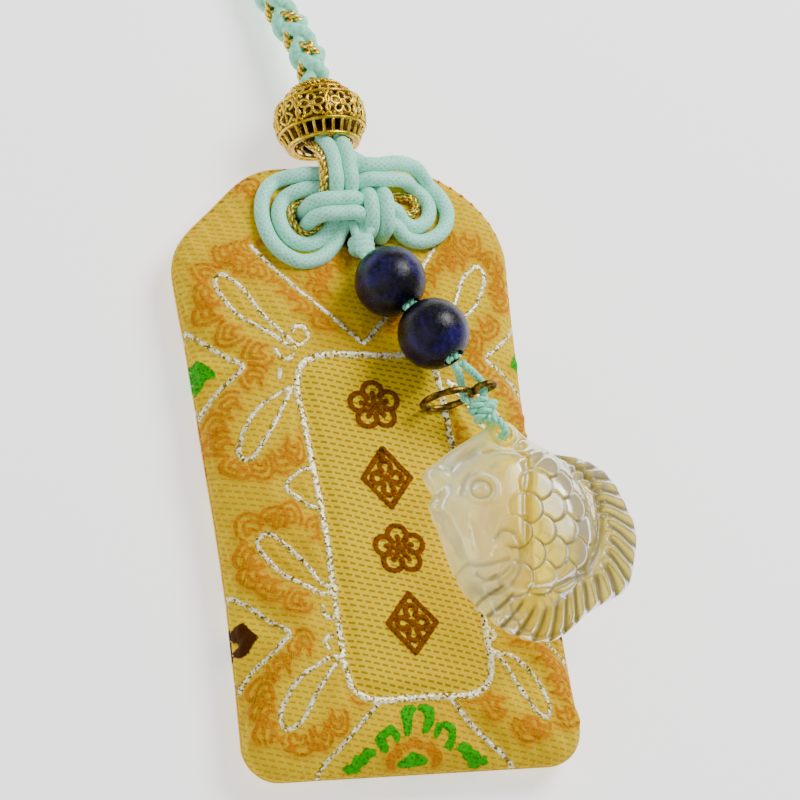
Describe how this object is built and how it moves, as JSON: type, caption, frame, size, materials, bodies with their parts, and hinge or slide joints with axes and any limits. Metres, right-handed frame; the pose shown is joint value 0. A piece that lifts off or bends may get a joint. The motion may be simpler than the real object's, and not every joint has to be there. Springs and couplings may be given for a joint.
{
  "type": "crystal charm",
  "caption": "Padded brocade pouch charm with an ornamental cord knot, filigree bead and braided strap, and a dangle of stone beads, a gourd link and a carved crystal fish.",
  "frame": {"origin": "on the pouch's flat back, on its centre line, 45.4 mm below its top edge", "axes": "+X to the pouch's right seen from its front, +Y towards the strap, +Z out of the pouch's front"},
  "size_m": [0.0569, 0.162, 0.0212],
  "materials": {
    "brocade": "twill brocade, golden yellow with orange and silver-white figures",
    "wadding": "soft fibre",
    "card": "plain grey-brown card",
    "slip": "matt, folded",
    "mint_cord": "satin cord",
    "strap_cord": "four-strand braid of mint satin and gold cord",
    "gold_cord": "twisted metallic thread",
    "filigree": "gilt openwork, worn bright",
    "link": "aged brass",
    "lapis": "polished, navy with black-green blotches and pyrite flecks",
    "crystal": "polished clear quartz, milky at the head"
  },
  "bodies": {
    "pouch": {"pouch_front": "brocade", "pouch_back": "brocade", "front_wadding": "wadding", "stiffener_card": "card", "prayer_slip": "slip", "outer_knot_cord": "mint_cord", "inner_knot_cord": "mint_cord", "gold_cord": "gold_cord", "dangle_tie": "mint_cord"},
    "bead": {"filigree_bead": "filigree"},
    "strap": {"braided_strap": "strap_cord", "strap_whipping": "gold_cord"},
    "upper_dangle": {"bead_thread_left": "mint_cord", "bead_thread_right": "mint_cord"},
    "upper_stone": {"upper_lapis_bead": "lapis"},
    "lower_stone": {"lower_lapis_bead": "lapis"},
    "lower_dangle": {"drop_thread": "mint_cord", "overhand_knot": "mint_cord"},
    "link": {"brass_gourd_link": "link"},
    "fish": {"crystal_fish": "crystal"}
  },
  "joints": [
    {"name": "bead_spin", "type": "hinge", "parent": "pouch", "child": "bead", "pos_m": [-0.0012, 0.0521, 0.007], "axis": [0, 1, 0], "continuous": true},
    {"name": "strap_swing", "type": "hinge", "parent": "pouch", "child": "strap", "pos_m": [-0.0012, 0.0566, 0.007], "axis": [0, 0, 1], "range_deg": [-20, 20]},
    {"name": "dangle_swing", "type": "hinge", "parent": "pouch", "child": "upper_dangle", "pos_m": [0.0011, 0.031, 0.0103], "axis": [0, 0, 1], "range_deg": [-60, 45]},
    {"name": "upper_stone_spin", "type": "hinge", "parent": "upper_dangle", "child": "upper_stone", "pos_m": [0.0034, 0.0244, 0.01348], "axis": [0.4021, -0.8745, 0.2714], "continuous": true},
    {"name": "lower_stone_spin", "type": "hinge", "parent": "upper_dangle", "child": "lower_stone", "pos_m": [0.00754, 0.01539, 0.01627], "axis": [0.4021, -0.8745, 0.2714], "continuous": true},
    {"name": "drop_lift", "type": "hinge", "parent": "upper_dangle", "child": "lower_dangle", "pos_m": [0.00972, 0.01065, 0.01774], "axis": [-0.8518, -0.5239, 0], "range_deg": [0, 70]},
    {"name": "link_tilt", "type": "hinge", "parent": "lower_dangle", "child": "link", "pos_m": [0.01244, 0.0073, 0.01475], "axis": [0.851, 0.108, 0.514], "range_deg": [-10, 10]},
    {"name": "fish_swing", "type": "hinge", "parent": "lower_dangle", "child": "fish", "pos_m": [0.0159, 0.0006, 0.0145], "axis": [0, 0, 1], "range_deg": [-20, 30]}
  ]
}
